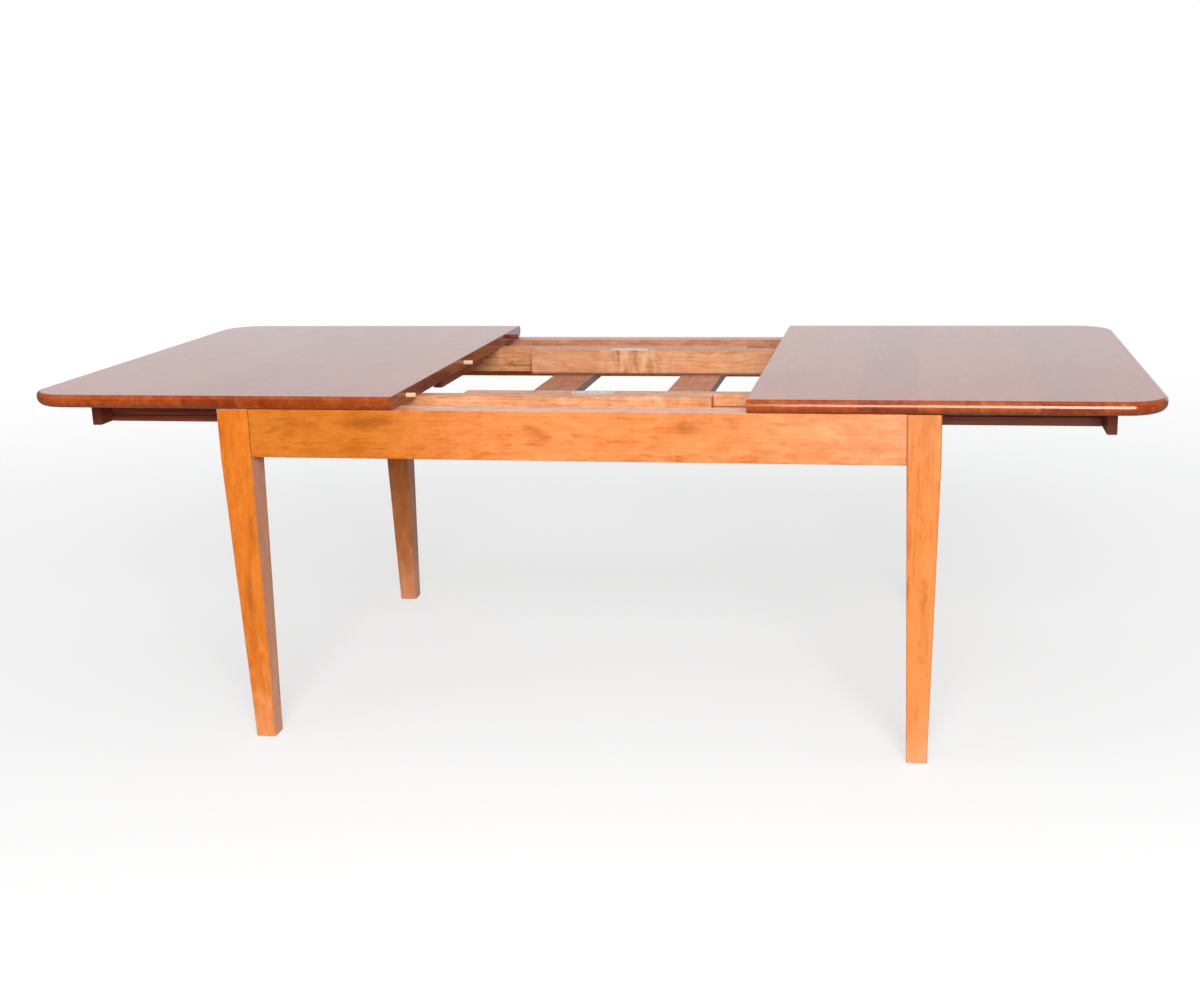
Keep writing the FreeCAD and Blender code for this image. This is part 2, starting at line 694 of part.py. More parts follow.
def make_runner(side_name, row_name):
    """A runner from its outer end to its tip; Y away from the table's centre line."""
    side = SIDES[side_name]
    row = ROWS[row_name]
    runner = Piece("%s_runner_%s" % (side_name, row_name))
    half = "runner_thickness / 2"
    if side == LEFT:
        lip_low = "lip_level - slide_clearance - lip_clearance"
        lip_high = "lip_level - slide_clearance + lip_height + lip_clearance"
        lip_floor = half + " - lip_depth - lip_clearance * 2"
        tongue = "-%s - tongue_depth" % half
        corners = [
            ("-" + half, "0"), (half, "0"), (half, lip_low), (lip_floor, lip_low),
            (lip_floor, lip_high), (half, lip_high), (half, "runner_height"),
            ("-" + half, "runner_height"), ("-" + half, "tongue_level + tongue_height"),
            (tongue, "tongue_level + tongue_height"), (tongue, "tongue_level"),
            ("-" + half, "tongue_level")]
    else:
        low = "tongue_level - tongue_clearance"
        high = "tongue_level + tongue_height + tongue_clearance"
        floor = half + " + runner_gap - tongue_depth - 2 * tongue_clearance"
        corners = [
            ("-" + half, "0"), (half, "0"), (half, low), (floor, low), (floor, high),
            (half, high), (half, "runner_height"), ("-" + half, "runner_height")]
    section = runner.outline("YZ_Plane", [(signed(row, y), z) for y, z in corners])
    runner.pad(section, "runner_length", side == RIGHT)

    half_width = size_of("runner_thickness") / 2
    runner.ease("Chamfer", "runner_arris", lambda edge: (
        lies_along(edge, 0) and all_at(edge, 2, 0)
        and (all_at(edge, 1, half_width) or all_at(edge, 1, -half_width))))

    # Slot of the stop pin: the pin stands at its outer end when the table is open
    pin_open = "(open_gap / 2 + %s + board_spacing / 2)" % RUNNER_END
    slot_half = "(pin_diameter / 2 + slot_side_clearance)"
    slot_end = "(pin_diameter / 2 + slot_end_clearance)"
    slot = runner.box_outline(
        "XY_Plane",
        (signed(-side, "%s - %s - %s" % (pin_open, TRAVEL, slot_end)), "-" + slot_half),
        (signed(-side, "%s + %s" % (pin_open, slot_end)), slot_half))
    runner.pocket(slot, "pin_rise - slide_clearance + slot_roof_clearance", True)

    spots = [(signed(-side, "runner_screw_margin + %d * runner_screw_pitch" % step), "0")
             for step in range(3)]
    shanks = runner.circles("XY_Plane", spots, SCREW_HOLE)
    runner.pocket(shanks, "runner_height", True)
    recesses = runner.circles("XY_Plane", spots, "recess_diameter")
    runner.pocket(recesses, "leaf_screw_level", True)
    if side == RIGHT:
        # Bed and screw holes of the steel plate in its top
        centre = "(%s - open_gap / 2 - %s)" % (PLATE_X[row_name], RUNNER_END)
        bed_x = "(plate_length / 2 + plate_fit)"
        bed_y = "(plate_width / 2 + plate_fit)"
        bed = runner.box_outline("XY_Plane", ("%s - %s" % (centre, bed_x), "-" + bed_y),
                                 ("%s + %s" % (centre, bed_x), bed_y), "runner_height")
        runner.pocket(bed, "plate_thickness + plate_drop")
        holes = runner.circles("XY_Plane", plate_screw_spots(centre, "0"), PLATE_HOLE,
                               "runner_height")
        runner.pocket(holes, "plate_screw_length + plate_head_height + 2 * plate_screw_tip")
    put(runner.body, "%s + %s" % (leaf_place(side), signed(side, RUNNER_END)),
        signed(row, runner_y(side)), RUNNER_UNDER)


def plate_screw_spots(x, y):
    """The four screws of a runner plate, in a row along it."""
    return [("%s + %s * plate_screw_pitch" % (x, step), y) for step in (-1.5, -0.5, 0.5, 1.5)]


def make_runner_plate(row_name):
    row = ROWS[row_name]
    plate = Piece("runner_plate_" + row_name)
    half_x = "plate_length / 2"
    half_y = "plate_width / 2"
    plan = plate.box_outline("XY_Plane", ("-" + half_x, "-" + half_y), (half_x, half_y))
    plate.pad(plan, "plate_thickness")
    plate.ease("Fillet", "plate_corner", lambda edge: lies_along(edge, 2))
    spots = plate_screw_spots("0", "0")
    plate.pocket(plate.circles("XY_Plane", spots, PLATE_HOLE), "plate_thickness", True)
    heads = plate.circles("XY_Plane", spots, "plate_head_diameter + 2 * screw_clearance",
                          "plate_thickness")
    plate.pocket(heads, "plate_head_height")
    put(plate.body, PLATE_X[row_name], signed(row, INNER_RUNNER_Y),
        LEAF_UNDER + " - plate_drop - plate_thickness")


def make_plate_screws():
    """The screws of both runner plates, heads up and flush with the plates."""
    screws = Piece("plate_screws", True)
    spots = []
    for row_name, row in ROWS.items():
        spots += plate_screw_spots(PLATE_X[row_name], signed(row, INNER_RUNNER_Y))
    shanks = screws.circles("XY_Plane", spots, "plate_screw_diameter")
    screws.pad(shanks, "plate_screw_length", True)
    tip = -size_of("plate_screw_length")
    screws.ease("Chamfer", "plate_screw_tip", lambda edge: all_at(edge, 2, tip))
    screws.pad(screws.circles("XY_Plane", spots, "plate_head_diameter"), "plate_head_height")
    put(screws.body, "0", "0", LEAF_UNDER + " - plate_drop - plate_head_height")


def make_batten(side_name, which):
    """A board across the underside of a half top: upright at its outer end, low at its inner."""
    side = SIDES[side_name]
    batten = Piece("%s_%s_batten" % (side_name, which))
    if which == "outer":
        half, height, inner_end = OUTER_BATTEN_HALF, "batten_height", RUNNER_END
        recess_depth = "leaf_screw_level - runner_height + batten_height"
    else:
        half, height, inner_end = INNER_BATTEN_HALF, "inner_batten_height", "inner_batten_inset"
        recess_depth = "inner_recess_depth"
    plan = batten.box_outline("XY_Plane", ("0", "-" + half),
                              (signed(side, "batten_thickness"), half))
    batten.pad(plan, height)
    box_corner = long_outer_edges(batten, 1)
    batten.ease("Chamfer", "batten_arris", lambda edge: box_corner(edge) and all_at(edge, 2, 0))
    middle = signed(side, "batten_thickness / 2")
    spots = [(middle, signed(row, reach))
             for row in ROWS.values() for reach in batten_screws(which)]
    batten.pocket(batten.circles("XY_Plane", spots, SCREW_HOLE), height, True)
    batten.pocket(batten.circles("XY_Plane", spots, "recess_diameter"), recess_depth, True)
    put(batten.body, "%s + %s" % (leaf_place(side), signed(side, inner_end)), "0",
        LEAF_UNDER + " - " + height)


# ---------------------------------------------------------------- the table

for side_name in SIDES:
    for row_name in ROWS:
        make_leg(side_name, row_name)
        make_corner_block(side_name, row_name)
        make_runner_guide(side_name, row_name)
        make_runner(side_name, row_name)
    make_end_apron(side_name)
    make_cross_board(side_name)
    make_half_top(side_name)
    make_batten(side_name, "outer")
    make_batten(side_name, "inner")
    side = SIDES[side_name]
    make_screws(side_name + "_half_screws", under_leaf(side, long_screw_spots(side)),
                "leaf_screw_length", RUNNER_UNDER + " + leaf_screw_level")
    make_screws(side_name + "_batten_screws", under_leaf(side, short_screw_spots(side)),
                "inner_screw_length",
                LEAF_UNDER + " - inner_batten_height + inner_recess_depth")
for row_name in ROWS:
    make_apron(row_name)
    make_side_rail(row_name)
    make_runner_plate(row_name)
make_plate_screws()
make_stop_pins()
make_screws("cross_board_screws", base_screw_spots(), "base_screw_length",
            BOARD_FOOT + " + base_recess_depth")
make_corner_hardware()
make_dowels()
doc.recompute()

for item in doc.Objects:
    if "Invalid" in item.State or "Error" in item.State:
        raise RuntimeError("%s is %s" % (item.Label, item.State))
os.makedirs("parts", exist_ok=True)
for item in HANDED_IN:
    if item.Shape.isNull() or not item.Shape.isValid():
        raise RuntimeError("%s has no valid shape" % item.Label)
    item.Shape.exportStep("parts/%s.step" % item.Label)
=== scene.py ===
"""Looks of the extension table: glossy red-brown half tops on an orange frame with a satin finish.

The shapes are all the CAD model's own. This script gives each node its material, and adds the
camera, a pale floor and soft light."""

import math

import bpy
from mathutils import Matrix, Vector


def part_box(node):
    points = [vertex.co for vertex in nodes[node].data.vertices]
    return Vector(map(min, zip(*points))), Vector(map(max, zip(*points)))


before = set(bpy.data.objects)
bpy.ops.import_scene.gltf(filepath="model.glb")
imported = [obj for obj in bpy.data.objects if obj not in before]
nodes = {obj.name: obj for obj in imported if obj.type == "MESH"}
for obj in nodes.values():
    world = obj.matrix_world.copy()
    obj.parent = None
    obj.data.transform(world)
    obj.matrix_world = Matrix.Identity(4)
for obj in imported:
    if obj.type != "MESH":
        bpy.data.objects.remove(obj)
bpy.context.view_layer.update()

ROWS, ENDS = ("front", "back"), ("left", "right")
CORNERS = [f"{row}_{end}" for row in ROWS for end in ENDS]

# ---------------------------------------------------------------- camera

IMAGE_WIDTH, IMAGE_HEIGHT = 1200, 1000
FOCAL_PX = 1535.87
AXIS_PX = (680.26, 501.57)              # the pixel that the camera points at
CAMERA_AT = Vector((0.6814, -3.4295, 1.2941))
YAW, PITCH, ROLL = 0.15553, -0.24932, -0.02178      # radians
SENSOR = 36.0                           # millimetres
CLIP_NEAR, CLIP_FAR = 0.05, 200


def make_camera():
    """The camera looks along forward, with its picture turned by the roll."""
    level = math.cos(PITCH)
    forward = Vector((-math.sin(YAW) * level, math.cos(YAW) * level, math.sin(PITCH)))
    level_right = forward.cross(Vector((0, 0, 1))).normalized()
    level_up = level_right.cross(forward)
    right = math.cos(ROLL) * level_right + math.sin(ROLL) * level_up
    up = -math.sin(ROLL) * level_right + math.cos(ROLL) * level_up
    data = bpy.data.cameras.new("camera")
    data.sensor_fit = "HORIZONTAL"
    data.sensor_width = SENSOR
    data.lens = FOCAL_PX * SENSOR / IMAGE_WIDTH
    data.shift_x = (IMAGE_WIDTH / 2 - AXIS_PX[0]) / IMAGE_WIDTH
    data.shift_y = (AXIS_PX[1] - IMAGE_HEIGHT / 2) / IMAGE_WIDTH
    data.clip_start, data.clip_end = CLIP_NEAR, CLIP_FAR
    data.dof.use_dof = False
    camera = bpy.data.objects.new("camera", data)
    bpy.context.scene.collection.objects.link(camera)
    turn = Matrix((right, up, -forward)).transposed().to_4x4()
    camera.matrix_world = Matrix.Translation(CAMERA_AT) @ turn
    bpy.context.scene.camera = camera


# ---------------------------------------------------------------- shader graphs

MIX_FACTOR, MIX_A, MIX_B, MIX_RESULT = 0, 6, 7, 2       # sockets of a Mix node that mixes colours
RAMP_DARK, RAMP_MIDDLE, RAMP_LIGHT = 0.15, 0.5, 0.85


class Graph:
    """A material's nodes. Each call adds a node and returns its output socket."""

    def __init__(self, name):
        self.material = bpy.data.materials.new(name)
        self.material.use_nodes = True
        self.tree = self.material.node_tree
        self.tree.nodes.clear()
        self.output = self.tree.nodes.new("ShaderNodeOutputMaterial")

    def put(self, socket, value):
        """Links a socket, or sets a plain value."""
        if isinstance(value, bpy.types.NodeSocket):
            self.tree.links.new(value, socket)
        elif value is not None:
            if isinstance(value, tuple) and len(value) == 3 and socket.type == "RGBA":
                value = (*value, 1.0)
            socket.default_value = value

    def node(self, kind, out=0, settings=None, **inputs):
        """A node of a kind, with its inputs by name, where an underscore stands for a space."""
        n = self.tree.nodes.new("ShaderNode" + kind)
        for key, value in (settings or {}).items():
            setattr(n, key, value)
        for key, value in inputs.items():
            self.put(n.inputs[key.replace("_", " ")], value)
        return n.outputs[out]

    def place(self, kind="Object"):
        """X, Y and Z of a texture coordinate."""
        n = self.tree.nodes.new("ShaderNodeSeparateXYZ")
        self.put(n.inputs[0], self.node("TexCoord", out=kind))
        return tuple(n.outputs)

    def math(self, operation, *values, clamp=False):
        n = self.tree.nodes.new("ShaderNodeMath")
        n.operation, n.use_clamp = operation, clamp
        for socket, value in zip(n.inputs, values):
            self.put(socket, value)
        return n.outputs[0]

    def distance(self, value, point):
        """How far a value is from a point, on either side."""
        return self.math("ABSOLUTE", self.math("SUBTRACT", value, point))

    def hypotenuse(self, a, b):
        squares = [self.math("POWER", side, 2.0) for side in (a, b)]
        return self.math("SQRT", self.math("ADD", *squares))

    def scaled_sum(self, base, *terms):
        """base plus each term's (socket, weight) with the socket centred on a half."""
        total = base
        for socket, weight in terms:
            centred = self.math("SUBTRACT", socket, 0.5)
            total = self.math("MULTIPLY_ADD", centred, weight, total)
        return total

    def span(self, value, low, high, to_low=0.0, to_high=1.0):
        """Maps low..high to to_low..to_high smoothly, and holds it there outside."""
        n = self.tree.nodes.new("ShaderNodeMapRange")
        n.interpolation_type = "SMOOTHSTEP"
        for socket, v in zip(n.inputs, (value, low, high, to_low, to_high)):
            self.put(socket, v)
        return n.outputs[0]

    def mix(self, factor, a, b):
        """Colour a, turning to b as the factor goes from nought to one."""
        n = self.tree.nodes.new("ShaderNodeMix")
        n.data_type = "RGBA"
        for socket, value in ((MIX_FACTOR, factor), (MIX_A, a), (MIX_B, b)):
            self.put(n.inputs[socket], value)
        return n.outputs[MIX_RESULT]

    def ramp(self, tone, tones):
        """Dark, middle and light colour by tone, which is a half where nothing shifts it."""
        n = self.tree.nodes.new("ShaderNodeValToRGB")
        self.put(n.inputs[0], tone)
        stops = n.color_ramp.elements
        stops[0].position, stops[0].color = RAMP_DARK, (*tones[0], 1)
        stops[1].position, stops[1].color = RAMP_LIGHT, (*tones[2], 1)
        stops.new(RAMP_MIDDLE).color = (*tones[1], 1)
        return n.outputs[0]

    def noise(self, vector, detail=3.0, rough=0.55, distortion=0.0, scale=1.0):
        return self.node("TexNoise", Vector=vector, Scale=scale, Detail=detail, Roughness=rough,
                         Distortion=distortion)

    def finish(self, **inputs):
        """The material, as one Principled shader with these inputs."""
        shader = self.tree.nodes.new("ShaderNodeBsdfPrincipled")
        for key, value in inputs.items():
            self.put(shader.inputs[key.replace("_", " ")], value)
        self.tree.links.new(shader.outputs[0], self.output.inputs["Surface"])
        return self.material


# ---------------------------------------------------------------- wood

# Dark, middle and light tone, and the deep one of pores, dirt, end grain and painted shade (linear).
TOP_TONES = ((0.18, 0.020, 0.004), (0.34, 0.048, 0.006), (0.53, 0.118, 0.018), (0.080, 0.014, 0.004))
AMBER_TONES = ((0.46, 0.100, 0.002), (0.69, 0.165, 0.006), (0.82, 0.235, 0.024), (0.25, 0.075, 0.006))
SALMON_TONES = ((0.60, 0.142, 0.016), (0.82, 0.243, 0.064), (0.90, 0.290, 0.095), (0.25, 0.075, 0.010))
HONEY_TONES = ((0.56, 0.134, 0.010), (0.765, 0.236, 0.051), (0.84, 0.276, 0.078), (0.23, 0.069, 0.009))
SHADED_TONES = ((0.44, 0.120, 0.022), (0.66, 0.195, 0.050), (0.80, 0.280, 0.095), (0.22, 0.060, 0.014))
RUNNER_TONES = ((0.41, 0.138, 0.054), (0.685, 0.300, 0.140), (0.84, 0.450, 0.250), (0.20, 0.062, 0.026))
# The back rail's tones, darker than the front rail's: painted shade for the shade it stands in.
SHADED_RAIL_TONES = ((0.34, 0.112, 0.056), (0.54, 0.215, 0.122), (0.68, 0.335, 0.220), (0.15, 0.050, 0.028))
# The battens' tones: their own dark wood, made darker still as painted shade under the half tops.
BATTEN_TONES = ((0.18, 0.036, 0.018), (0.28, 0.060, 0.032), (0.38, 0.100, 0.055), (0.08, 0.018, 0.010))
BOARD_TONES = ((0.20, 0.078, 0.062), (0.34, 0.156, 0.134), (0.47, 0.240, 0.195), (0.10, 0.034, 0.022))
DOWEL_TONES = ((0.68, 0.36, 0.18), (0.88, 0.55, 0.32), (0.96, 0.72, 0.50), (0.40, 0.20, 0.10))

GRAIN_AXES = {"X": (0, 1, 2), "Y": (1, 0, 2), "Z": (2, 0, 1)}

# What the grain is made of: waves per metre along and across it, detail, roughness and distortion.
WOOD_NOISES = {
    "sway": (1.1, 2.6, 3.0, 0.55, 0.0),         # long bends of the growth rings
    "waver": (7.0, 16.0, 4.0, 0.55, 0.0),       # short ones
    "streak": (2.6, 60.0, 5.0, 0.62, 0.0),
    "mottle": (22.0, 60.0, 4.0, 0.62, 0.5),
    "fibre": (11.0, 480.0, 3.0, 0.60, 0.0),
    "blotch": (4.5, 14.0, 5.0, 0.62, 0.7),
    "cloud": (1.2, 2.6, 1.5, 0.55, 0.0),
    "curl": (27.0, 7.0, 2.5, 0.55, 1.5),        # waves that run across the grain
    "pores": (42.0, 1150.0, 1.0, 0.55, 0.0),
    "smudge": (9.0, 26.0, 6.0, 0.68, 0.5),
    "rub": (22.0, 60.0, 4.0, 0.55, 0.0),
}
# How much each of them shifts the tone. All shares but the fibre's grow with the figure.
TONE_FIBRE, TONE_BLOTCH, TONE_MOTTLE, TONE_CLOUD, TONE_CURL = 0.16, 0.60, 1.25, 0.45, 0.14
TONE_FLAME = 1.5                        # the curl's share at the heart of a flame, above its usual one
TONE_BOARD, TONE_BOARD_END = 0.17, 0.38     # how boards differ on their faces and on their end grain

SEED_SHIFT = 3.7                        # metres along the noises from one wood to the next
BOARD_SEED = 7.1                        # boards from one glued-up wood's chances to the next one's
BOARD_SHIFT = 5.0                       # the most metres that a board is moved along the noises
SEAM = (0.493, 0.4985)                  # where a seam begins and is deepest, in board widths off its middle

RINGS_PER_METRE = 120.0
RING_BENDS = ((0.13, 0.014), (0.07, 0.010))     # metres of sway and waver, across the grain and through
RING_SHAPE = 1.7                        # above one, the dark late wood is narrow
LATE_WOOD_END = 0.90                    # share of a ring after which the next one's pale wood begins
PITH_BESIDE, PITH_STEP, PITH_STEPS = 0.045, 0.017, 3    # the pith's depth beside the piece, by seed
PITH_ACROSS = 0.013                     # and its place across it

# Where a layer begins to show and shows in full, by its noise or by the surface's normal.
PORE = (0.66, 0.74)
SMUDGE = (0.52, 0.78)
RUBBED = (0.42, 0.68)
# The streaks in the dark that is painted beyond a distance, which on the runners is painted shade.
DARK_STREAKS = (0.3, 0.7)
END_GRAIN = (0.75, 0.98)                # share of the normal along the grain
BEVEL = (0.99, 0.80)                    # largest share of the normal along any axis
FACING = (0.90, 0.99)                   # share of the normal along X

SMUDGE_STREAK, SMUDGE_MOTTLE, SMUDGE_PATCH = 0.35, 0.30, 0.22
SMUDGE_DEEP = 0.4                       # share of the deep tone in a smudge, the rest is the dark one
PORE_DARK = 0.35
EDGE_WEAR = 0.35
# How much paler a foot is, how ragged its line, and how pale: scuffed finish, and painted light on a leg
# shaded above.
FOOT_PALING, FOOT_RAGGED, FOOT_PALE = 0.75, 0.5, 0.10
# A dark line of painted shade along a runner's lower edge: its share, its waver, and where it begins and is
# full.
EDGE_SHADE, EDGE_SHADE_WAVER, EDGE_SHADE_TOP, EDGE_SHADE_FULL = 0.75, 0.003, 0.008, 0.004   # all but the first in metres
# How fast the dark painted beyond a distance comes in, and the specular level there; on the runners it is
# painted shade under the half tops.
DARK_FADE, DARK_SHINE = 0.015, 0.05
# How much darker the face that meets the other half top is painted, and over what width.
MEETING_DARK, MEETING_FADE = 0.5, 0.0008
DIRT, SEAM_DIRT, JOINT_DIRT = 0.6, 0.35, 0.8    # share of the deep tone, and how much dirt shows

RELIEF_FIBRE, RELIEF_RING, RELIEF_PORE, RELIEF_STREAK, RELIEF_SEAM = 0.5, 0.25, -1.1, 0.3, -0.9
RELIEF_DEPTH = 0.0005                   # metres
ROUGH_BLOTCH, ROUGH_FIBRE, ROUGH_PORE, ROUGH_END, ROUGH_EDGE = 0.10, 0.12, 0.15, 0.25, 0.15
HAZE_SPREAD = 0.45


class Wood(Graph):
    """Wood that is solid through the piece and stretched along its grain. Its look is laid on layer
    by layer. Lengths are in metres. u, v and w run along, across and through the grain, and sides
    are the normal's shares along X, Y and Z."""

    def __init__(self, name, grain, tones, seed):
        super().__init__(name)
        self.tones, self.seed = tones, seed
        self.dark, _, self.light, self.deep = tones
        self.at = self.place()
        self.sides = [self.math("ABSOLUTE", part) for part in self.place("Normal")]
        along, across, through = GRAIN_AXES[grain]
        self.along, self.v, self.w = self.at[along], self.at[across], self.at[through]
        self.u = self.math("ADD", self.along, SEED_SHIFT * seed)
        self.ring_place = self.math("ADD", self.v, PITH_ACROSS * seed)
        self.end_face = self.span(self.sides[along], *END_GRAIN)
        self.noises = {}
        self.chance = self.seam = self.colour = None

    def glue_up(self, width):
        """Makes it of boards, each from its own place in the tree."""
        cell = self.math("FLOOR", self.math("DIVIDE", self.v, width))
        self.chance = self.node("TexWhiteNoise", settings={"noise_dimensions": "1D"},
                                W=self.math("ADD", cell, self.seed * BOARD_SEED))
        self.u = self.math("MULTIPLY_ADD", self.chance, BOARD_SHIFT, self.u)
        across = self.math("FRACT", self.math("DIVIDE", self.v, width))
        self.seam = self.span(self.distance(across, 0.5), *SEAM)
        pith = self.math("MULTIPLY", self.math("ADD", cell, self.chance), width)
        self.ring_place = self.math("SUBTRACT", self.v, pith)

    def grain_noise(self, name):
        """One of the noises, which is made at its first use."""
        if name not in self.noises:
            along, across, detail, rough, distortion = WOOD_NOISES[name]
            spot = self.node("CombineXYZ", X=self.math("MULTIPLY", self.u, along),
                             Y=self.math("MULTIPLY", self.v, across),
                             Z=self.math("MULTIPLY", self.w, across))
            self.noises[name] = self.noise(spot, detail, rough, distortion)
        return self.noises[name]

    def growth_rings(self):
        """Rises through each ring to its dark late wood, and falls off where the next begins."""
        bends = (self.grain_noise("sway"), self.grain_noise("waver"))
        beside = PITH_BESIDE + PITH_STEP * (self.seed % PITH_STEPS)
        starts = (self.ring_place, self.math("ADD", self.w, beside))
        radius = self.hypotenuse(*(self.scaled_sum(start, *zip(bends, weights))
                                   for start, weights in zip(starts, RING_BENDS)))
        turn = self.math("FRACT", self.math("MULTIPLY", radius, RINGS_PER_METRE))
        fall = self.span(turn, LATE_WOOD_END, 1.0, 1.0, 0.0)
        return self.math("MULTIPLY", self.math("POWER", turn, RING_SHAPE), fall)

    def grow(self, figure, rings, streaks, flame, drift, far):
        """Gives it the colour of the bare wood."""
        self.ring = self.growth_rings()
        curl = TONE_CURL * figure
        if flame:
            middle, reach = flame
            near = self.span(self.distance(self.along, middle), reach, 0.0)
            curl = self.math("MULTIPLY_ADD", near, TONE_FLAME, curl)
        weights = {"streak": streaks * figure, "fibre": TONE_FIBRE, "blotch": TONE_BLOTCH * figure,
                   "mottle": TONE_MOTTLE * figure, "cloud": TONE_CLOUD * figure, "curl": curl}
        tone = self.scaled_sum(0.5, (self.ring, -rings),
                               *((self.grain_noise(name), weight) for name, weight in weights.items()))
        if drift:
            right_at, per_metre = drift
            tone = self.math("MULTIPLY_ADD", self.math("SUBTRACT", self.along, right_at), per_metre, tone)
        if self.chance is not None:
            spread = self.span(self.end_face, 0.0, 1.0, TONE_BOARD, TONE_BOARD_END)
            tone = self.scaled_sum(tone, (self.chance, spread))
        self.colour = self.ramp(tone, self.tones)
        if far:
            far_tones, start, end = far
            self.cover(self.span(self.along, start, end), self.ramp(tone, far_tones))

    def cover(self, share, colour):
        self.colour = self.mix(share, self.colour, colour)

    def smudge(self, stain, patches):
        spread = self.scaled_sum(self.grain_noise("smudge"), (self.grain_noise("streak"), SMUDGE_STREAK),
                                 (self.grain_noise("mottle"), SMUDGE_MOTTLE))
        for x, z, reach_x, reach_z in patches:
            off_x = self.math("DIVIDE", self.math("SUBTRACT", self.at[0], x), reach_x)
            off_z = self.math("DIVIDE", self.math("SUBTRACT", self.at[2], z), reach_z)
            near = self.span(self.hypotenuse(off_x, off_z), 1.0, 0.0)
            spread = self.math("MULTIPLY_ADD", near, SMUDGE_PATCH, spread)
        brown = tuple(a + SMUDGE_DEEP * (b - a) for a, b in zip(self.dark, self.deep))
        self.cover(self.math("MULTIPLY", self.span(spread, *SMUDGE), stain), brown)

    def open_pores(self, pores):
        self.pore = self.span(self.grain_noise("pores"), *PORE)
        self.cover(self.math("MULTIPLY", self.pore, PORE_DARK * pores), self.deep)

    def darken_ends(self, share):
        """End grain drinks more finish."""
        self.cover(self.math("MULTIPLY", self.end_face, share), self.deep)

    def rub_edges(self):
        """Bevels and round-overs are rubbed lighter, here and there."""
        largest = self.math("MAXIMUM", self.math("MAXIMUM", *self.sides[:2]), self.sides[2])
        self.rubbed = self.span(self.grain_noise("rub"), *RUBBED)
        edge = self.math("MULTIPLY", self.span(largest, *BEVEL), self.rubbed)
        self.edge_wear = self.math("MULTIPLY", edge, EDGE_WEAR)
        self.cover(self.edge_wear, self.light)

    # Paler foot: scuffed finish, and painted light on a leg whose upper part is shaded.
    def pale_foot(self, height):
        level = self.scaled_sum(self.at[2], (self.rubbed, -FOOT_RAGGED * height))
        share = self.math("MULTIPLY", self.span(level, height, 0.0), FOOT_PALING)
        self.cover(share, tuple(min(1.0, c + FOOT_PALE) for c in self.light))

    # Painted shade: a dark line along a lower edge.
    def shade_lower_edge(self, height):
        level = self.math("MULTIPLY_ADD", self.grain_noise("streak"), EDGE_SHADE_WAVER, self.at[2])
        share = self.span(level, height + EDGE_SHADE_TOP, height + EDGE_SHADE_FULL)
        self.cover(self.math("MULTIPLY", share, EDGE_SHADE), self.deep)

    def darken_beyond(self, axis, side, distance):
        """Paints it dark in the battens' tones beyond a distance along an axis, and returns where."""
        beside = self.math("MULTIPLY", self.at[axis], side)
        share = self.span(beside, distance, distance + DARK_FADE)
        streaky = self.span(self.grain_noise("streak"), *DARK_STREAKS)
        self.cover(share, self.mix(streaky, BATTEN_TONES[0], BATTEN_TONES[2]))
        return share

    def darken_meeting_face(self, distance):
        """Darkens the face that meets the other half top."""
        share = self.span(self.math("ABSOLUTE", self.at[0]), distance + MEETING_FADE, distance)
        share = self.math("MULTIPLY", share, self.span(self.sides[0], *FACING))
        self.cover(self.math("MULTIPLY", share, MEETING_DARK), self.deep)

    def dirty(self, line, share):
        self.cover(self.math("MULTIPLY", line, share), tuple(c * DIRT for c in self.deep))

    def dirty_joint(self, distance, reach):
        off_line = self.distance(self.math("ABSOLUTE", self.at[0]), distance)
        self.dirty(self.span(off_line, reach, 0.0), JOINT_DIRT)

    def relief(self, pores, strength):
        """The bump of its fibres, rings, pores and seams."""
        fibre, streak = self.grain_noise("fibre"), self.grain_noise("streak")
        height = self.scaled_sum(0.5, (fibre, RELIEF_FIBRE), (self.ring, RELIEF_RING),
                                 (self.pore, RELIEF_PORE * pores), (streak, RELIEF_STREAK))
        if self.seam is not None:
            height = self.math("MULTIPLY_ADD", self.seam, RELIEF_SEAM, height)
        return self.node("Bump", Strength=strength, Distance=RELIEF_DEPTH, Height=height)

    def roughness(self, gloss, pores, end_dark):
        """The finish's roughness, and more on end grain and rubbed edges."""
        rough = self.scaled_sum(gloss, (self.grain_noise("blotch"), ROUGH_BLOTCH),
                                (self.grain_noise("fibre"), ROUGH_FIBRE), (self.pore, ROUGH_PORE * pores))
        rough = self.math("MULTIPLY_ADD", self.end_face, ROUGH_END * end_dark, rough)
        return self.math("MULTIPLY_ADD", self.edge_wear, ROUGH_EDGE, rough, clamp=True)


